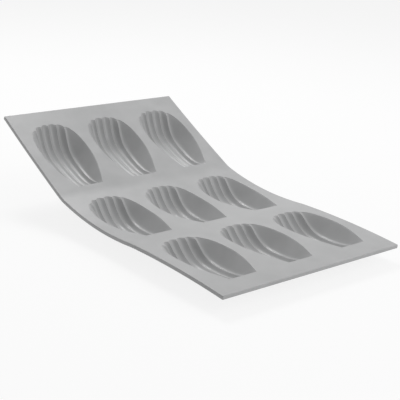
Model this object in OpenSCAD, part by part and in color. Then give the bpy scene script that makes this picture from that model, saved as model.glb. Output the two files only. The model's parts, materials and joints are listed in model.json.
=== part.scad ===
// Flexible baking mould: nine scallop-shell cups for madeleines in one thin sheet.
// It is drawn flexed, as it lies on a table with its rear row lifted.
// Z is up, X runs across the sheet, Y runs from the front edge to the rear edge.

/* [Cup] */
// Length of a cup's mouth, from its straight end to the tips of the scallops
cup_l = 76; // [66:1:96]
// Width of a cup's mouth where it is widest
cup_w = 45; // [40:1:60]
// Width of the straight end of the mouth
nose_w = 24; // [20:1:30]
// Distance of the widest place behind the middle of the mouth
widest_offset = 4; // [0:0.5:10]
// Depth of a cup below the sheet's top face, at its deepest
cup_depth = 16; // [12:0.5:22]
// Depth of the floor where it reaches the wall of the straight end
nose_depth = 10; // [7:0.5:11.5]
// Distance of the deepest place behind the middle of the mouth
deepest_offset = 8; // [2:0.5:14]
// Thickness of the cup's wall under its deepest place
wall = 2; // [1.2:0.1:3]
// Depth cut flat from the underside of each cup, so that it stands
foot_cut = 0.6; // [0.3:0.1:1]

/* [Flutes] */
// Distance of the inner pair of ridges from the centre line, at the scalloped edge
inner_ridge_x = 7.6; // [6.5:0.1:8.5]
// Distance of the outer pair of ridges from the centre line, at the scalloped edge
outer_ridge_x = 13.6; // [12.5:0.1:15]
// Share of those distances that is left at the straight end
ridge_gather = 0.66; // [0.5:0.01:0.75]
// Height of the three middle ridges above the flutes beside them, at the scalloped edge
ridge_h = 1.7; // [0.5:0.1:2.2]
// Height of the two outer ridges
outer_ridge_h = 2.2; // [0.5:0.1:2.8]
// Depth of the notch where a ridge meets the scalloped edge
notch = 1.9; // [0.4:0.1:2.4]

/* [Sheet] */
// Thickness of the sheet
sheet_t = 3; // [2:0.1:5]
// Gap between the mouths of neighbouring cups, across the sheet
gap_across = 10; // [8:0.5:20]
// Length of a flex strip between two rows of cups
strip_l = 10; // [8:0.5:30]
// Width of the firm land between a cup's mouth and a flex strip
land = 4.5; // [3:0.5:10]
// Margin from the outer cups to the side edges
side_margin = 10; // [6:0.5:30]
// Margin from the cups to the front edge and to the rear edge
end_margin = 17; // [6:0.5:40]

/* [Flex] */
// Bend of the front row in degrees, front to rear: a valley is positive, a hill negative
front_bend = -6.5; // [-15:0.5:15]
// Bend of the strip between the front and middle rows
front_strip_bend = -3; // [-20:0.5:20]
// Bend of the middle row
middle_bend = 18; // [0:0.5:25]
// Bend of the strip between the middle and rear rows
rear_strip_bend = 12; // [0:0.5:40]
// Bend of the rear row
rear_bend = 3; // [-10:0.5:15]

/* [Hidden] */
silicone = [0.66, 0.66, 0.66];

pitch_x = cup_w + gap_across;
sheet_w = 3 * cup_w + 2 * gap_across + 2 * side_margin;
end_row_l = end_margin + cup_l + land;
middle_row_l = land + cup_l + land;

panel_facets = 14;
strip_facets = 6;
stations = 18;
station_power = 1.35; // above 1 crowds the stations towards the straight end
side_shares = [0.35, 0.65, 0.87, 1];
corner_share = 0.6; // how far from the outer ridge to the cup's side the scalloped edge reaches
fullness = 2.7; // above 2 the scalloped end is squarer than an ellipse
ramp_power = 0.9; // below 1 the ramp to the scalloped edge is steepest at the edge
ramp_soft = 0.15; // how softly the ramp meets the floor, as a share of the depth
nose_power = 8; // how tightly the floor turns up at the straight end
side_sag = 0.12; // how much the floor sags across, as a share of the depth
side_slope = 2.3; // fall of the straight side walls, in depths per half width
side_soft = 0.2; // how softly they meet the floor, as a share of the depth
ridge_start = 0.07; // share of the length in which the ridges rise at the straight end

// The side view is a chain of arcs. A place on it is [y, z, heading in degrees].
function sinc(a) = abs(a) < 0.001 ? 1 : sin(a) * 180 / (PI * a);
function walk(from, l, bend) =
    let (chord = l * sinc(bend / 2), way = from[2] + bend / 2)
    [from[0] + chord * cos(way), from[1] + chord * sin(way), from[2] + bend];
function below(at, drop) = [at[0] + drop * sin(at[2]), at[1] - drop * cos(at[2])];

// Starts of the front row, front strip, middle row, rear strip and rear row, and the rear edge
function chain(front) =
    let (a = walk(front, end_row_l, front_bend), b = walk(a, strip_l, front_strip_bend),
         c = walk(b, middle_row_l, middle_bend), d = walk(c, strip_l, rear_strip_bend),
         e = walk(d, end_row_l, rear_bend))
    [front, a, b, c, d, e];

// Place and heading of the middle of each row's cups
function part_way(from, l, row_l, bend) = walk(from, l, bend * l / row_l);
function front_seat(ch) = part_way(ch[0], end_margin + cup_l / 2, end_row_l, front_bend);
function middle_seat(ch) = part_way(ch[2], middle_row_l / 2, middle_row_l, middle_bend);
function rear_seat(ch) = part_way(ch[4], land + cup_l / 2, end_row_l, rear_bend);

// A row's curve lifts its cups by this much at y from their middle
function lift(y, bend, row_l) = bend / row_l * PI / 180 * y * y / 2;

// A quarter of an ellipse, or of a squarer arc where fullness is above 2
function full_arc(share) = pow(1 - pow(min(1, abs(share)), fullness), 1 / fullness);
// Half the mouth's width at y: a quarter sine wave in front of the widest place, that arc behind it
function half_w(y, g) =
    let (front_l = cup_l / 2 + widest_offset + g, rear_l = cup_l / 2 - widest_offset + g,
         nose = nose_w / 2 + g, side = cup_w / 2 + g, from_widest = y - widest_offset)
    from_widest < 0 ? nose + (side - nose) * sin(90 * (front_l + from_widest) / front_l)
                    : side * full_arc(from_widest / rear_l);
// The scalloped edge's y at x: the same arc, drawn in by the notches
function edge_y(x, g, scallop) =
    widest_offset + (cup_l / 2 - widest_offset + g) * full_arc(x / (cup_w / 2 + g))
    - notch * (1 - scallop);

// Columns of the cup's grid, from the centre line to the rim: [x at the edge, x at the straight end,
// share of the way from the outer ridge to the rim, ridge height, scallop]
corner_x = outer_ridge_x + corner_share * (cup_w / 2 - outer_ridge_x);
inner_flute_x = inner_ridge_x / 2;
outer_flute_x = (inner_ridge_x + outer_ridge_x) / 2;
ridge_columns = [
    [0, 0, 0, ridge_h, 0],
    [inner_flute_x, inner_flute_x * ridge_gather, 0, 0, 1],
    [inner_ridge_x, inner_ridge_x * ridge_gather, 0, ridge_h, 0],
    [outer_flute_x, outer_flute_x * ridge_gather, 0, 0, 1],
    [outer_ridge_x, outer_ridge_x * ridge_gather, 0, outer_ridge_h, 0]];
outer_nose_x = outer_ridge_x * ridge_gather;
side_columns = [for (q = side_shares)
    [outer_ridge_x + q * (corner_x - outer_ridge_x), outer_nose_x + q * (nose_w / 2 - outer_nose_x),
     q, 0, 1]];
right_columns = concat(ridge_columns, side_columns);
half_n = len(right_columns) - 1;
columns = 2 * half_n + 1;
function column(i) = right_columns[abs(i - half_n)];
function side_of(i) = sign(i - half_n);

// A grid point of the cup's mouth seen from above, grown outwards by g
function plan(i, v, g) =
    let (c = column(i), grow_corner = corner_x + g,
         edge_x = c[2] == 1 ? grow_corner : c[0] + g * c[0] / corner_x,
         end_y = edge_y(edge_x, g, g > 0 ? 1 : c[4]),
         y = -cup_l / 2 - g + v * (end_y + cup_l / 2 + g),
         nose_x = c[1] + g * c[1] / (nose_w / 2),
         ridge_x = nose_x + v * (edge_x - nose_x),
         spine_x = outer_nose_x + v * (outer_ridge_x - outer_nose_x),
         x = c[2] > 0 ? spine_x + c[2] * (half_w(rim_y(v, g), g) - spine_x) : ridge_x)
    [side_of(i) * x, y];
function rim_y(v, g) = -cup_l / 2 - g + v * (edge_y(corner_x + g, g, 1) + cup_l / 2 + g);

// The lesser of two values, rounded where they cross
function soft_lesser(a, b, soft) = (a + b - sqrt(pow(a - b, 2) + soft * soft)) / 2;
// Depth from 0 at the rim to 1 at the deepest place: the length's curve times the width's curve.
// Along, the floor falls from the straight end's wall until the ramp to the scallops cuts it off.
deepest_v = (cup_l / 2 + deepest_offset) / cup_l;
along_peak = soft_lesser(1, 1, ramp_soft);
nose_fall = 1 - along_peak * nose_depth / cup_depth;
function along(v) =
    let (to_deepest = (deepest_v - v) / deepest_v,
         floor_part = (1 - nose_fall * to_deepest) * sqrt(1 - pow(max(0, to_deepest), nose_power)),
         ramp_part = pow((1 - v) / (1 - deepest_v), ramp_power))
    max(0, soft_lesser(floor_part, ramp_part, ramp_soft)) / along_peak;
// Across, the floor sags a little between two straight walls
across_peak = soft_lesser(1, side_slope, side_soft);
function across(x, v, g) =
    let (share = min(1, abs(x) / half_w(rim_y(v, g), g)))
    max(0, soft_lesser(1 - side_sag * share * share, side_slope * (1 - share), side_soft)) / across_peak;
// Ridges shrink with the flutes towards the straight end, and end on its wall
function ridge_share(v) =
    (ridge_gather + (1 - ridge_gather) * v) * (1 - pow(max(0, 1 - v / ridge_start), 2));
// A ridge of height r stands on a floor of depth d, and rolls over into the rim where d is small
function on_ridge(d, r) = sqrt(d * d + r * r) - r;

function station(j) = pow(j / stations, station_power);
function inside(i, j, bend, row_l) =
    let (v = station(j), p = plan(i, v, 0), d = cup_depth * along(v) * across(p[0], v, 0))
    [p[0], p[1], lift(p[1], bend, row_l) - on_ridge(d, column(i)[3] * ridge_share(v))];
function underside(i, j, bend, row_l) =
    let (v = station(j), p = plan(i, v, wall),
         d = max(sheet_t, (cup_depth + wall) * along(v) * across(p[0], v, wall)))
    [p[0], p[1], lift(p[1], bend, row_l) - d];

// The grid's border, once round
border = concat([for (i = [0 : columns - 1]) [i, 0]], [for (j = [1 : stations]) [columns - 1, j]],
                [for (i = [columns - 2 : -1 : 0]) [i, stations]], [for (j = [stations - 1 : -1 : 1]) [0, j]]);
mouth = [for (b = border) plan(b[0], station(b[1]), wall)];

// One cup: its inside, its underside, and the rim that joins them through the sheet.
// What lies below the foot's depth is cut away.
foot_depth = cup_depth + wall - foot_cut;
module cup(seat, side, bend, row_l) {
    n = columns * (stations + 1);
    m = len(border);
    top = n;
    low = n + m;
    function at(b) = b[0] + columns * b[1];
    points = concat(
        [for (j = [0 : stations]) for (i = [0 : columns - 1]) inside(i, j, bend, row_l)],
        [for (p = mouth) [p[0], p[1], lift(p[1], bend, row_l)]],
        [for (j = [0 : stations]) for (i = [0 : columns - 1]) underside(i, j, bend, row_l)]);
    cells = [for (j = [0 : stations - 1]) for (i = [0 : columns - 2]) i + columns * j];
    faces = concat(
        [for (a = cells) each [[a, a + columns, a + 1], [a + 1, a + columns, a + columns + 1]]],
        [for (k = [0 : m - 1]) let (q = (k + 1) % m)
            each [[at(border[k]), at(border[q]), top + q], [at(border[k]), top + q, top + k]]],
        [for (k = [0 : m - 1]) let (q = (k + 1) % m)
            each [[top + k, top + q, low + at(border[q])], [top + k, low + at(border[q]), low + at(border[k])]]],
        [for (a = cells) each [[low + a, low + a + 1, low + a + columns],
                               [low + a + 1, low + a + columns + 1, low + a + columns]]]);
    color(silicone) translate([side * pitch_x, seat[0], seat[1]]) rotate([seat[2], 0, 0])
        difference() {
            polyhedron(points, faces, convexity = 6);
            translate([-cup_w / 2, -cup_l / 2, -foot_depth - wall]) cube([cup_w, cup_l, wall]);
        }
}

// A point below the foot's depth is brought up to it, along the line to its neighbour
function above_foot(a, b) = a[2] >= -foot_depth ? a : a + (b - a) * (-foot_depth - a[2]) / (b[2] - a[2]);

// The mould stands on the feet of its front and middle rows, so the chain starts at that tilt.
// A foot's front end is where the underside's centre line, laid flat, passes its depth.
centre_line = [for (j = [0 : stations]) underside(half_n, j, 0, 1)];
foot_front = [for (j = [0 : stations - 1]) let (a = centre_line[j], b = centre_line[j + 1])
    if (a[2] > -foot_depth && b[2] <= -foot_depth) above_foot(b, a)[1]][0];
function foot(seat) = let (b = below(seat, foot_depth))
    [b[0] + foot_front * cos(seat[2]), b[1] + foot_front * sin(seat[2])];
level = chain([0, 0, 0]);
front_foot = foot(front_seat(level));
middle_foot = foot(middle_seat(level));
tilt = -atan2(middle_foot[1] - front_foot[1], middle_foot[0] - front_foot[0]);

// The origin is on the table, under the middle of the mould's length
tilted = chain([0, 0, tilt]);
function lowest(seat, bend, row_l) = min([for (j = [0 : stations - 1])
    let (a = underside(half_n, j, bend, row_l), b = underside(half_n, j + 1, bend, row_l))
    if (max(a[2], b[2]) > -foot_depth) for (p = [above_foot(a, b), above_foot(b, a)])
        seat[1] + p[1] * sin(seat[2]) + p[2] * cos(seat[2])]);
table_z = min(lowest(front_seat(tilted), front_bend, end_row_l),
              lowest(middle_seat(tilted), middle_bend, middle_row_l));
front_y = min(0, sheet_t * sin(tilt));
rear_y = max(tilted[5][0], tilted[5][0] + sheet_t * sin(tilted[5][2]));
profile = chain([-(front_y + rear_y) / 2, -table_z, tilt]);
front_at = front_seat(profile);
middle_at = middle_seat(profile);
rear_at = rear_seat(profile);

// A stretch of the sheet, as an outline in the side view
function stretch(from, l, bend, facets) =
    let (line = [for (k = [0 : facets]) walk(from, l * k / facets, bend * k / facets)])
    concat([for (p = line) [p[0], p[1]]], [for (k = [facets : -1 : 0]) below(line[k], sheet_t)]);
module sheet_piece(from, l, bend, facets)
    rotate([90, 0, 90]) linear_extrude(height = sheet_w, center = true)
        polygon(stretch(from, l, bend, facets));

module cup_holes(seat) for (side = [-1 : 1])
    translate([side * pitch_x, seat[0], seat[1]]) rotate([seat[2], 0, 0])
        translate([0, 0, -cup_depth]) linear_extrude(height = 2 * cup_depth) polygon(mouth);

module front_panel() color(silicone) difference() {
    sheet_piece(profile[0], end_row_l, front_bend, panel_facets);
    cup_holes(front_at);
}
module middle_panel() color(silicone) difference() {
    sheet_piece(profile[2], middle_row_l, middle_bend, panel_facets);
    cup_holes(middle_at);
}
module rear_panel() color(silicone) difference() {
    sheet_piece(profile[4], end_row_l, rear_bend, panel_facets);
    cup_holes(rear_at);
}
module front_flex_strip() color(silicone) sheet_piece(profile[1], strip_l, front_strip_bend, strip_facets);
module rear_flex_strip() color(silicone) sheet_piece(profile[3], strip_l, rear_strip_bend, strip_facets);
module cup_front(side) cup(front_at, side, front_bend, end_row_l);
module cup_middle(side) cup(middle_at, side, middle_bend, middle_row_l);
module cup_rear(side) cup(rear_at, side, rear_bend, end_row_l);

front_panel();
middle_panel();
rear_panel();
front_flex_strip();
rear_flex_strip();
cup_front(-1);  // cup_front_left
cup_front(0);  // cup_front_centre
cup_front(1);  // cup_front_right
cup_middle(-1);  // cup_middle_left
cup_middle(0);  // cup_middle_centre
cup_middle(1);  // cup_middle_right
cup_rear(-1);  // cup_rear_left
cup_rear(0);  // cup_rear_centre
cup_rear(1);  // cup_rear_right
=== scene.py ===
import json
from math import atan2, cos, pi, radians, sin

import bmesh
import bpy
import numpy as np
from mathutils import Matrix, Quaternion, Vector


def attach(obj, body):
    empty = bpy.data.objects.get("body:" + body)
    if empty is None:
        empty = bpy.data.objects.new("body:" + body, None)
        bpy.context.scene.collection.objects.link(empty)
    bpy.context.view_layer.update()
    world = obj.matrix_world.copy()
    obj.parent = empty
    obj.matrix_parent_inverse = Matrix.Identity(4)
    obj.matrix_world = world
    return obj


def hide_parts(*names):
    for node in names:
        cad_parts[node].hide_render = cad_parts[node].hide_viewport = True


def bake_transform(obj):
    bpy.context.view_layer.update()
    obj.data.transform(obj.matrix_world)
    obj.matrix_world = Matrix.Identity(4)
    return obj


# A flexible silicone mould with nine scallop-shell cups, flexed on a pale table.
# Lengths are in millimetres until a mesh is made. X is across, Y is front to rear, Z is up.

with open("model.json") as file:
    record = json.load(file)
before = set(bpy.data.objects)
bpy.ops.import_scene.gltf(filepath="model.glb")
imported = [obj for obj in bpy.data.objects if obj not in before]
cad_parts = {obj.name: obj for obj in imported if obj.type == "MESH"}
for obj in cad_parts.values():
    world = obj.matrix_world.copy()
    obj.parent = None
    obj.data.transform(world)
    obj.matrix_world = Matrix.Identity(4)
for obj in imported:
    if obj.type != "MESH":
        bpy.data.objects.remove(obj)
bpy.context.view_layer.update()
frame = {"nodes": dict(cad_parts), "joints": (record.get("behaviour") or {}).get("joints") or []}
joints = {joint["name"]: joint for joint in frame["joints"]}
sideNames = ["left", "centre", "right"]
metre = 0.001
print("frame loaded:", len(frame["nodes"]), "nodes")


# Sheet and its flex

sheet = {
    "cups": 3,               # across
    "thickness": 3.0,
    "gapAcross": 10.0,       # between two mouths
    "strip": 10.0,           # length of a flex strip
    "land": 4.5,             # firm sheet between a mouth and a flex strip
    "sideMargin": 10.0,
    "endMargin": 17.0,
    "edgeRound": 0.5,        # radius of the outer edges
    "bends": [-6.5, -3.0, 18.0, 12.0, 3.0],  # degrees: front row, strip, middle row, strip, rear row
}

cup = {
    "length": 76.0,
    "width": 45.0,
    "nose": 24.0,            # width of the straight end
    "widest": 4.0,           # widest place, behind the middle
    "fullness": 2.7,         # above 2 the scalloped end is squarer than an ellipse
    "depth": 16.0,
    "noseDepth": 8.5,        # depth of the floor at the straight end's wall
    "deepest": 9.0,          # deepest place, behind the middle
    "wall": 2.0,
    "footCut": 0.6,          # height cut off the underside to make the flat foot
    "lip": 0.4,              # radius of the rim
    "floorPower": 1.8,       # 2 is a parabola, and below 2 the floor bends more at its deepest
    "rampPower": 2.3,        # the same for the floor's rise to the scallops
    "nosePower": 8,          # the larger, the steeper the straight end's wall
    "sag": 0.2,              # how much the floor sags across, as a share of the depth
    "sideSlope": 2.3,        # fall of the side walls, in depths per half width
    "sideSoft": 0.2,         # how softly they meet the floor, as a share of the depth
    "innerRidge": 7.6,       # ridges' distance from the centre line, at the scalloped edge
    "outerRidge": 13.9,
    "cornerShare": 0.6,      # where scallops turn into side, as a share of the way from outer ridge to rim
    "cornerReach": 3.5,      # length of the last half scallop beside the outer ridge
    "gather": 0.64,          # share of the ridges' distance left at the straight end
    "ridge": 1.5,            # ridge height at the scalloped edge
    "outerRidgeHeight": 2.3,
    "ridgeKeep": 0.9,        # share of their height left at the straight end
    "ridgeStart": 1 / 14,    # share of the length over which they rise from that end's wall
    "crest": 0.4,            # radius of a ridge's crest
    "fluteRound": 1.8,       # above 2 a flute's section is more of a U
    "notch": 1.9,            # depth of the notches between scallops
    "ridgeFade": 0.35,       # how far up the side wall the outer ridge's foot runs
    "underRidge": 0.6,       # share of the ridges that shows as grooves on the underside
}

pitch = cup["width"] + sheet["gapAcross"]
endRow = sheet["endMargin"] + cup["length"] + sheet["land"]
middleRow = cup["length"] + 2 * sheet["land"]
stretches = [endRow, sheet["strip"], middleRow, sheet["strip"], endRow]
sheetWidth = sheet["cups"] * cup["width"] + 2 * sheet["gapAcross"] + 2 * sheet["sideMargin"]


def walk(place, length, bend):
    # A place is y, z and heading in degrees. A step along an arc is its chord,
    # length times sin(half bend) over half bend, laid at the heading plus half the bend.
    length, half = np.asarray(length, float), np.radians(bend) / 2
    chord, way = length * np.sinc(half / pi), np.radians(place[2]) + half
    y, z = place[0] + chord * np.cos(way), place[1] + chord * np.sin(way)
    return np.array([y, z, place[2] + bend + 0 * length])


def chain(start):
    places = [np.array(start, float)]
    for length, bend in zip(stretches, sheet["bends"]):
        places.append(walk(places[-1], length, bend))
    return places


def partWay(places, k, length):
    return walk(places[k], length, sheet["bends"][k] * length / stretches[k])


def hingeOf(places, k):
    # the middle of a strip, half way down through the sheet
    y, z, heading = partWay(places, k, sheet["strip"] / 2)
    drop = sheet["thickness"] / 2
    return np.array([y + drop * sin(radians(heading)), z - drop * cos(radians(heading))])


def settle():
    # turns and moves the chain so that its two hinges meet the frame's joints
    level = chain([0, 0, 0])
    mine = [hingeOf(level, 1), hingeOf(level, 3)]
    theirs = [np.array(joints[name]["pos_m"][1:]) / metre for name in ("front_flex", "rear_flex")]
    turn = atan2(*(theirs[1] - theirs[0])[::-1]) - atan2(*(mine[1] - mine[0])[::-1])
    rotation = np.array([[cos(turn), -sin(turn)], [sin(turn), cos(turn)]])
    start = theirs[0] - rotation @ mine[0]
    return chain([start[0], start[1], turn * 180 / pi])


profile = settle()
rows = {
    "front": {"body": "front_row", "stretch": 0, "before": sheet["endMargin"], "after": sheet["land"]},
    "middle": {"body": "middle_row", "stretch": 2, "before": sheet["land"], "after": sheet["land"]},
    "rear": {"body": "rear_row", "stretch": 4, "before": sheet["land"], "after": sheet["endMargin"]},
}
for row in rows.values():
    row["seat"] = partWay(profile, row["stretch"], row["before"] + cup["length"] / 2)
    row["curvature"] = radians(sheet["bends"][row["stretch"]]) / stretches[row["stretch"]]


def lift(y, curvature):
    # an arc's rise above its tangent: k y^2 / (1 + sqrt(1 - k^2 y^2))
    return curvature * y * y / (1 + np.sqrt(1 - (curvature * y) ** 2))


def seated(points, row):
    # points drawn on a flat sheet, as x, y, z from the cup's middle, bent and laid in their row
    x, y, z = points[..., 0], points[..., 1], points[..., 2] + lift(points[..., 1], row["curvature"])
    seatY, seatZ, a = row["seat"][0], row["seat"][1], radians(row["seat"][2])
    return np.stack([x, seatY + y * cos(a) - z * sin(a), seatZ + y * sin(a) + z * cos(a)], -1)


# Meshes

stitchWithin = 1e-6          # metres
cornerTurn = 1.0             # radians: an edge that turns by more may be rounded
onEdge = 0.01                # millimetres


def gridFaces(rowCount, columnCount, first=0):
    a = (np.arange(rowCount - 1)[:, None] * columnCount + np.arange(columnCount - 1)).ravel() + first
    return np.stack([a, a + 1, a + columnCount + 1, a + columnCount], -1)


def makePiece(name, grids, material, sharpAngle=50.0, flag=None):
    # grids of points, stitched where they meet; flag picks the edges that get rounded
    points = np.concatenate([grid.reshape(-1, 3) for grid in grids])
    faces, first = [], 0
    for grid in grids:
        faces.append(gridFaces(grid.shape[0], grid.shape[1], first))
        first += grid.shape[0] * grid.shape[1]
    mesh = bpy.data.meshes.new(name)
    mesh.from_pydata((points * metre).tolist(), [], np.concatenate(faces).tolist())
    work = bmesh.new()
    work.from_mesh(mesh)
    bmesh.ops.remove_doubles(work, verts=work.verts, dist=stitchWithin)
    bmesh.ops.recalc_face_normals(work, faces=work.faces)
    if flag:
        weight = work.edges.layers.float.new("bevel_weight_edge")
        for edge in work.edges:
            if len(edge.link_faces) == 2 and edge.calc_face_angle() > cornerTurn and flag(edge):
                edge[weight] = 1.0
    work.to_mesh(mesh)
    work.free()
    mesh.polygons.foreach_set("use_smooth", np.ones(len(mesh.polygons), bool))
    mesh.set_sharp_from_angle(angle=radians(sharpAngle))
    mesh.materials.append(material)
    piece = bpy.data.objects.new(name, mesh)
    bpy.context.scene.collection.objects.link(piece)
    return piece


def roundEdges(piece):
    bevel = piece.modifiers.new("roundEdges", "BEVEL")
    bevel.limit_method = "WEIGHT"
    bevel.width = sheet["edgeRound"] * metre
    bevel.segments = 3
    bevel.offset_type = "OFFSET"


# Silicone

silicone = {
    "pale": (0.425, 0.427, 0.430, 1),
    "dark": (0.385, 0.388, 0.390, 1),
    "mottle": 55.0,          # patches per metre
    "mottleDetail": 4.0,
    "darkBelow": 0.3,        # mottle value under which it is all dark, and over which all pale
    "paleAbove": 0.7,
    "grain": 2600.0,         # grains per metre
    "grainDetail": 2.0,
    "grainHeight": 0.00002,  # metres
    "grainStrength": 0.5,
    "roughLow": 0.30,
    "roughHigh": 0.42,
    "refraction": 1.41,
}


def makeSilicone(look):
    material = bpy.data.materials.new("silicone")
    material.use_nodes = True
    nodes, links = material.node_tree.nodes, material.node_tree.links
    shader = nodes["Principled BSDF"]
    place = nodes.new("ShaderNodeTexCoord")

    mottle = nodes.new("ShaderNodeTexNoise")
    mottle.inputs["Scale"].default_value = look["mottle"]
    mottle.inputs["Detail"].default_value = look["mottleDetail"]
    links.new(place.outputs["Object"], mottle.inputs["Vector"])

    tone = nodes.new("ShaderNodeValToRGB")
    tone.color_ramp.elements[0].position = look["darkBelow"]
    tone.color_ramp.elements[0].color = look["dark"]
    tone.color_ramp.elements[1].position = look["paleAbove"]
    tone.color_ramp.elements[1].color = look["pale"]
    links.new(mottle.outputs["Fac"], tone.inputs["Fac"])
    links.new(tone.outputs["Color"], shader.inputs["Base Color"])

    grain = nodes.new("ShaderNodeTexNoise")
    grain.inputs["Scale"].default_value = look["grain"]
    grain.inputs["Detail"].default_value = look["grainDetail"]
    links.new(place.outputs["Object"], grain.inputs["Vector"])
    bump = nodes.new("ShaderNodeBump")
    bump.inputs["Distance"].default_value = look["grainHeight"]
    bump.inputs["Strength"].default_value = look["grainStrength"]
    links.new(grain.outputs["Fac"], bump.inputs["Height"])
    links.new(bump.outputs["Normal"], shader.inputs["Normal"])

    rough = nodes.new("ShaderNodeMapRange")
    rough.inputs["To Min"].default_value = look["roughLow"]
    rough.inputs["To Max"].default_value = look["roughHigh"]
    links.new(mottle.outputs["Fac"], rough.inputs["Value"])
    links.new(rough.outputs["Result"], shader.inputs["Roughness"])
    shader.inputs["IOR"].default_value = look["refraction"]
    return material


siliconeMaterial = makeSilicone(silicone)


# Cups

def fullArc(share):
    # (1 - s^n)^(1/n), a quarter of an ellipse that is squarer the larger n is
    return np.maximum(0, 1 - np.clip(share, 0, 1) ** cup["fullness"]) ** (1 / cup["fullness"])


def softLesser(a, b, softness):
    # the lesser of the two, rounded where they cross: half of a + b - sqrt((a - b)^2 + k^2)
    return (a + b - np.sqrt((a - b) ** 2 + softness ** 2)) / 2


def halfWidth(y, grow):
    # a quarter sine wave in front of the widest place, a squarish ellipse behind it
    frontLength = cup["length"] / 2 + cup["widest"] + grow
    rearLength = cup["length"] / 2 - cup["widest"] + grow
    nose, side, fromWidest = cup["nose"] / 2 + grow, cup["width"] / 2 + grow, y - cup["widest"]
    front = nose + (side - nose) * np.sin(pi / 2 * (frontLength + fromWidest) / frontLength)
    return np.where(fromWidest < 0, front, side * fullArc(fromWidest / rearLength))


def edgeY(x, grow, scallop):
    # that arc at x, drawn in by the notches
    reach = cup["length"] / 2 - cup["widest"] + grow
    arc = cup["widest"] + reach * fullArc(abs(x) / (cup["width"] / 2 + grow))
    return arc - cup["notch"] * (1 - scallop)


cornerX = cup["outerRidge"] + cup["cornerShare"] * (cup["width"] / 2 - cup["outerRidge"])
noseRidge = cup["outerRidge"] * cup["gather"]
fluteSteps, sideSteps, stations = 14, 26, 110


def crowded(count):
    # shares from 0 to 1, crowded at both ends: half a cosine wave
    return (1 - np.cos(pi * np.arange(count + 1) / count)) / 2


def away(distance):
    # a distance whose start is rounded off: sqrt(d^2 + r^2) - r
    return np.sqrt(distance ** 2 + cup["crest"] ** 2) - cup["crest"]


def fluteShape(t, width):
    # 1 on the crests at t = 0 and 1, and 0 in the middle of the flute between them
    toCrest = away(np.minimum(t, 1 - t) * width) / away(width / 2)
    return (1 - toCrest) ** cup["fluteRound"]


def makeColumns():
    # columns of the cup's grid: x at the scalloped edge, x at the straight end, share of the way
    # from the outer ridge to the rim, ridge height, scallop. A lobe of the edge is a parabola, and
    # beside the outer ridge the height falls to nothing as the square of what is left of its foot.
    t = crowded(fluteSteps)[:-1]
    inner, outer, ridge, high = cup["innerRidge"], cup["outerRidge"], cup["ridge"], cup["outerRidgeHeight"]
    edge = np.concatenate([inner * t, inner + (outer - inner) * t, [outer]])
    innerHeight = ridge * fluteShape(t, inner)
    outerHeight = (ridge + (high - ridge) * t) * fluteShape(t, outer - inner)
    lobe = 1 - (2 * t - 1) ** 2
    q = crowded(sideSteps)[1:]
    lastLobe = 1 - np.maximum(0, 1 - q * (cornerX - outer) / cup["cornerReach"]) ** 2
    footWidth = cup["ridgeFade"] * (cup["width"] / 2 - outer)
    foot = np.maximum(0, 1 - away(q * (cup["width"] / 2 - outer)) / away(footWidth)) ** 2
    half = np.array([
        np.concatenate([edge, outer + q * (cornerX - outer)]),
        np.concatenate([edge * cup["gather"], noseRidge + q * (cup["nose"] / 2 - noseRidge)]),
        np.concatenate([0 * edge, q]),
        np.concatenate([innerHeight, outerHeight, [high], high * foot]),
        np.concatenate([lobe, lobe, [0], lastLobe]),
    ])
    mirrored = half[:, :0:-1] * np.array([[-1], [-1], [1], [1], [1]])
    return np.concatenate([mirrored, half], 1)


columns = makeColumns()


def rimY(v, grow):
    # y along the rim's side, evenly from the straight end to where the scallops start
    return -cup["length"] / 2 - grow + v * (edgeY(cornerX + grow, grow, 1) + cup["length"] / 2 + grow)


def plan(v, grow, scalloped):
    # x and y of the grid seen from above; v runs from the straight end to the scalloped edge
    edge, nose, q = columns[0] * (1 + grow / cornerX), columns[1] * (1 + 2 * grow / cup["nose"]), columns[2]
    endY = edgeY(edge, grow, columns[4] if scalloped else 1)
    y = -cup["length"] / 2 - grow + v * (endY + cup["length"] / 2 + grow)
    ridgeX = nose + v * (edge - nose)
    noseSpine, edgeSpine = noseRidge * (1 + 2 * grow / cup["nose"]), cup["outerRidge"] * (1 + grow / cornerX)
    spine = noseSpine + v * (edgeSpine - noseSpine)
    sideX = np.sign(edge) * (spine + q * (halfWidth(rimY(v, grow), grow) - spine))
    return np.where(q > 0, sideX, ridgeX), y


def lengthCurve(v):
    # 1 at the deepest place, where a bowl's two halves meet: towards the straight end it falls by
    # (1 - nose) t^a and ends in a steep wall sqrt(1 - t^c), towards the scallops it is 1 - t^b
    deepest = (cup["length"] / 2 + cup["deepest"]) / cup["length"]
    front = np.clip((deepest - v) / deepest, 0, 1)
    rear = np.clip((v - deepest) / (1 - deepest), 0, 1)
    floor = 1 - (1 - cup["noseDepth"] / cup["depth"]) * front ** cup["floorPower"]
    return floor * np.sqrt(1 - front ** cup["nosePower"]) * (1 - rear ** cup["rampPower"])


def widthCurve(x, v, grow):
    # a floor that sags a little, and straight side walls
    share = np.minimum(1, abs(x) / halfWidth(rimY(v, grow), grow))
    wall = softLesser(1 - cup["sag"] * share ** 2, cup["sideSlope"] * (1 - share), cup["sideSoft"])
    return np.maximum(0, wall) / softLesser(1, cup["sideSlope"], cup["sideSoft"])


def ridges(v):
    # ridges shrink towards the straight end, and end on its wall
    shrink = cup["ridgeKeep"] + (1 - cup["ridgeKeep"]) * v
    return columns[3] * shrink * (1 - np.maximum(0, 1 - v / cup["ridgeStart"]) ** 2)


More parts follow.
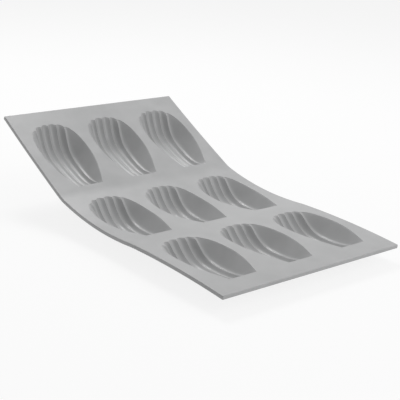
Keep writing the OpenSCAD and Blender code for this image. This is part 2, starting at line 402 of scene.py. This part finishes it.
def cupGrids():
    # a ridge rises out of the floor as sqrt(d^2 + r^2) - r, so its crest rolls over into the rim;
    # the underside is the bowl one wall further out, grooved under the ridges and cut flat at the foot
    along = np.arange(stations + 1) / stations
    v = (along + crowded(stations))[:, None] / 2
    x, y = plan(v, 0, True)
    depth = (cup["depth"] - cup["lip"]) * lengthCurve(v) * widthCurve(x, v, 0)
    depth = cup["lip"] + np.sqrt(depth ** 2 + ridges(v) ** 2) - ridges(v)
    inside = np.stack([x, y + 0 * x, -depth], -1)

    outX, outY = plan(v, cup["wall"], False)
    full = cup["depth"] + cup["wall"]
    bowl = lengthCurve(v) * widthCurve(outX, v, cup["wall"])
    outDepth = np.maximum(sheet["thickness"], (full - cup["underRidge"] * ridges(v)) * bowl)
    underside = np.stack([outX, outY + 0 * outX, -np.minimum(outDepth, full - cup["footCut"])], -1)

    mouth = borderOf(inside)[:, :2]
    outline = borderOf(underside)[:, :2]
    return inside, underside, mouth, outline


def borderOf(grid):
    # once round the grid's edge, back to its first point
    return np.concatenate([grid[0], grid[1:, -1], grid[-1, -2::-1], grid[-2::-1, 0]])


inside, underside, mouth, outline = cupGrids()


def rimGrid():
    # from the outline in to the mouth: a flat ring, then a quarter circle down over the lip
    lip = cup["lip"]
    outward = outline - mouth
    outward /= np.linalg.norm(outward, axis=1)[:, None]
    crest = mouth + outward * lip
    level = np.zeros((len(mouth), 1))
    ring = [np.concatenate([outline + (crest - outline) * t, level], 1) for t in (0, 0.4, 0.8, 1)]
    for angle in np.radians([18, 36, 54, 72, 90]):
        down = level - lip * (1 - cos(angle))
        ring.append(np.concatenate([mouth + outward * lip * (1 - sin(angle)), down], 1))
    return np.array(ring)


def upright(loop, top, bottom):
    # a wall between two heights along a loop
    return np.array([np.concatenate([loop, np.full((len(loop), 1), z)], 1) for z in (top, bottom)])


rim = rimGrid()
cupWall = upright(outline, 0, -sheet["thickness"])
for rowName, row in rows.items():
    for side, sideName in enumerate(sideNames):
        name = f"cup_{rowName}_{sideName}"
        offset = np.array([(side - 1) * pitch, 0, 0])
        grids = [seated(grid, row) + offset for grid in (inside, rim, cupWall, underside)]
        piece = makePiece(f"shellCup_{rowName}_{sideName}", grids, siliconeMaterial)
        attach(piece, row["body"])
        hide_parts(name)
print("cups made")


# Sheet around the cups

cellSteps, cellRings = 80, 12
stripSteps, acrossSteps = 16, 60
endReach = 2.0               # how far from the sheet's end an edge still belongs to it


def evenly(line, count):
    # the same line with its points an equal way apart
    way = np.concatenate([[0], np.cumsum(np.linalg.norm(np.diff(line, axis=0), axis=1))])
    at = np.linspace(0, way[-1], count + 1)
    return np.stack([np.interp(at, way, line[:, k]) for k in range(line.shape[1])], -1)


def cellGrids(side, row):
    # the sheet round one cup: its outline carried out to the cell's four sides
    left = -pitch / 2 if side > 0 else -cup["width"] / 2 - sheet["sideMargin"]
    right = pitch / 2 if side < sheet["cups"] - 1 else cup["width"] / 2 + sheet["sideMargin"]
    front, rear = -cup["length"] / 2 - row["before"], cup["length"] / 2 + row["after"]
    corners = np.array([[left, front], [right, front], [right, rear], [left, rear], [left, front]])
    across, back = len(columns[0]) - 1, stations
    ends = np.cumsum([0, across, back, across, back])
    loops = []
    for k in range(4):
        loops.append([evenly(outline[ends[k]:ends[k + 1] + 1], cellSteps)[k > 0:],
                      evenly(corners[k:k + 2], cellSteps)[k > 0:]])
    hole, cell = [np.concatenate(parts) for parts in zip(*loops)]
    share = (np.arange(cellRings + 1) / cellRings)[:, None, None]
    flat = hole + share * (cell - hole)
    top = np.concatenate([flat, np.zeros(flat.shape[:2] + (1,))], -1)
    # the underside lies one thickness down: straight down at a cup, square to the curve at the cell's edge
    slope = np.arcsin(row["curvature"] * flat[..., 1]) * share[..., 0]
    drop = sheet["thickness"] * np.stack([0 * slope, np.sin(slope), -np.cos(slope)], -1)
    return seated(top, row), drop


def droppedGrid(grid, drop, row):
    # the grid moved by the drop, which is turned about X with the row's seat
    a = radians(row["seat"][2])
    return grid + np.stack([drop[..., 0], drop[..., 1] * cos(a) - drop[..., 2] * sin(a),
                            drop[..., 1] * sin(a) + drop[..., 2] * cos(a)], -1)


def panelGrids(row):
    # the cells side by side: top, bottom, the holes' walls and the walls of the sheet's edges
    grids = []
    for side in range(sheet["cups"]):
        top, drop = cellGrids(side, row)
        bottom = droppedGrid(top, drop, row)
        offset = np.array([(side - 1) * pitch, 0, 0])
        walls = [np.array([top[0], bottom[0]])]
        for k in range(4):
            outer = k % 2 == 0 or (k == 1 and side == sheet["cups"] - 1) or (k == 3 and side == 0)
            if outer:
                part = slice(k * cellSteps, (k + 1) * cellSteps + 1)
                walls.append(np.array([top[-1][part], bottom[-1][part]]))
        grids += [grid + offset for grid in [top, bottom] + walls]
    return grids


def onRim(edge):
    # edges along the sheet's long sides
    return all(abs(abs(v.co.x) / metre - sheetWidth / 2) < onEdge for v in edge.verts)


def rimTest(endY):
    # those, and the edges of the sheet's own front or rear end
    def test(edge):
        return onRim(edge) or all(abs(v.co.y / metre - endY) < endReach for v in edge.verts)
    return test


ends = {"front": profile[0][0], "rear": profile[5][0]}
for rowName, row in rows.items():
    test = rimTest(ends[rowName]) if rowName in ends else onRim
    panel = makePiece(f"sheetPanel_{rowName}", panelGrids(row), siliconeMaterial, flag=test)
    roundEdges(panel)
    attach(panel, row["body"])
    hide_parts(f"{rowName}_panel")
print("panels made")


def stripGrids(k):
    # a flex strip: its arc swept across the sheet
    lengths = np.linspace(0, sheet["strip"], stripSteps + 1)
    y, z, heading = partWay(profile, k, lengths)
    x = np.linspace(-sheetWidth / 2, sheetWidth / 2, acrossSteps + 1)
    a, drop = np.radians(heading), sheet["thickness"]
    layers = []
    for depth in (0, drop):
        side = np.stack([y + depth * np.sin(a), z - depth * np.cos(a)], -1)
        layers.append(np.stack(np.broadcast_arrays(x, side[:, None, 0], side[:, None, 1]), -1))
    top, bottom = layers
    loops = [borderOf(layer) for layer in layers]
    return [top, bottom, np.array(loops)]


for rowName, k in (("front", 1), ("rear", 3)):
    strip = makePiece(f"flexStrip_{rowName}", stripGrids(k), siliconeMaterial, flag=onRim)
    roundEdges(strip)
    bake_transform(strip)
    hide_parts(f"{rowName}_flex_strip")
print("flex strips made")


# Table, light and camera

studio = {
    "floorSize": 6000.0,
    "floorDrop": 0.2,        # table's depth below the feet
    "floorColour": (0.86, 0.86, 0.86, 1),
    "floorWhite": 0.85,      # the floor's white share, over its own shaded colour
    "ambient": 0.39,         # strength of the pale room's light
    "keyPlace": (250.0, 640.0, 985.0),
    "keySize": 400.0,
    "keyPower": 6.9,
    "fillPlace": (600.0, -850.0, 600.0),
    "fillSize": 1200.0,
    "fillPower": 6.8,
    "cameraPlace": (-480.0, -580.5, 270.6),
    "cameraAim": (15.0, 4.3, 20.0),
    "cameraRoll": 2.8,       # degrees
    "lens": 88.5,            # focal length on a 36 mm sensor
}


def seenShare(nodes, links):
    # 1 for rays that show the background, 0 for rays that light the object
    path = nodes.new("ShaderNodeLightPath")
    value = path.outputs["Is Camera Ray"]
    for other in ("Is Glossy Ray", "Is Transmission Ray"):
        add = nodes.new("ShaderNodeMath")
        add.operation = "MAXIMUM"
        links.new(value, add.inputs[0])
        links.new(path.outputs[other], add.inputs[1])
        value = add.outputs[0]
    return value


def makeWorld():
    world = bpy.data.worlds.new("paleRoom")
    bpy.context.scene.world = world
    world.use_nodes = True
    nodes, links = world.node_tree.nodes, world.node_tree.links
    nodes.clear()
    ambient, white = nodes.new("ShaderNodeBackground"), nodes.new("ShaderNodeBackground")
    ambient.inputs["Strength"].default_value = studio["ambient"]
    ambient.inputs["Color"].default_value = (1, 1, 1, 1)
    white.inputs["Color"].default_value = (1, 1, 1, 1)
    mix, out = nodes.new("ShaderNodeMixShader"), nodes.new("ShaderNodeOutputWorld")
    links.new(seenShare(nodes, links), mix.inputs["Fac"])
    links.new(ambient.outputs[0], mix.inputs[1])
    links.new(white.outputs[0], mix.inputs[2])
    links.new(mix.outputs[0], out.inputs["Surface"])


def makeFloor():
    half = studio["floorSize"] / 2
    z = -studio["floorDrop"]
    corners = np.array([(-half, -half, z), (half, -half, z), (half, half, z), (-half, half, z)])
    mesh = bpy.data.meshes.new("table")
    mesh.from_pydata((corners * metre).tolist(), [], [(0, 1, 2, 3)])
    material = bpy.data.materials.new("paleTable")
    material.use_nodes = True
    nodes, links = material.node_tree.nodes, material.node_tree.links
    nodes.clear()
    matte, white = nodes.new("ShaderNodeBsdfDiffuse"), nodes.new("ShaderNodeEmission")
    matte.inputs["Color"].default_value = studio["floorColour"]
    white.inputs["Color"].default_value = (1, 1, 1, 1)
    share = nodes.new("ShaderNodeMath")
    share.operation = "MULTIPLY"
    share.inputs[1].default_value = studio["floorWhite"]
    mix, out = nodes.new("ShaderNodeMixShader"), nodes.new("ShaderNodeOutputMaterial")
    links.new(seenShare(nodes, links), share.inputs[0])
    links.new(share.outputs[0], mix.inputs["Fac"])
    links.new(matte.outputs[0], mix.inputs[1])
    links.new(white.outputs[0], mix.inputs[2])
    links.new(mix.outputs[0], out.inputs["Surface"])
    mesh.materials.append(material)
    table = bpy.data.objects.new("table", mesh)
    bpy.context.scene.collection.objects.link(table)


def makeLamp(name, place, size, power):
    lamp = bpy.data.lights.new(name, "AREA")
    lamp.size, lamp.energy = size * metre, power
    holder = bpy.data.objects.new(name, lamp)
    holder.location = Vector(place) * metre
    holder.rotation_mode = "QUATERNION"
    holder.rotation_quaternion = Vector(place).to_track_quat("Z", "Y")
    bpy.context.scene.collection.objects.link(holder)


def makeCamera():
    camera = bpy.data.objects.new("camera", bpy.data.cameras.new("camera"))
    place, aim = Vector(studio["cameraPlace"]) * metre, Vector(studio["cameraAim"]) * metre
    camera.location = place
    camera.rotation_mode = "QUATERNION"
    level = (place - aim).to_track_quat("Z", "Y")
    camera.rotation_quaternion = level @ Quaternion((0, 0, 1), radians(studio["cameraRoll"]))
    camera.data.sensor_width = 36.0
    camera.data.lens = studio["lens"]
    camera.data.clip_end = 20.0
    bpy.context.scene.collection.objects.link(camera)
    bpy.context.scene.camera = camera


makeWorld()
makeFloor()
makeLamp("keyLamp", studio["keyPlace"], studio["keySize"], studio["keyPower"])
makeLamp("fillLamp", studio["fillPlace"], studio["fillSize"], studio["fillPower"])
makeCamera()
bpy.context.scene.view_settings.view_transform = "Standard"
print("stage made")
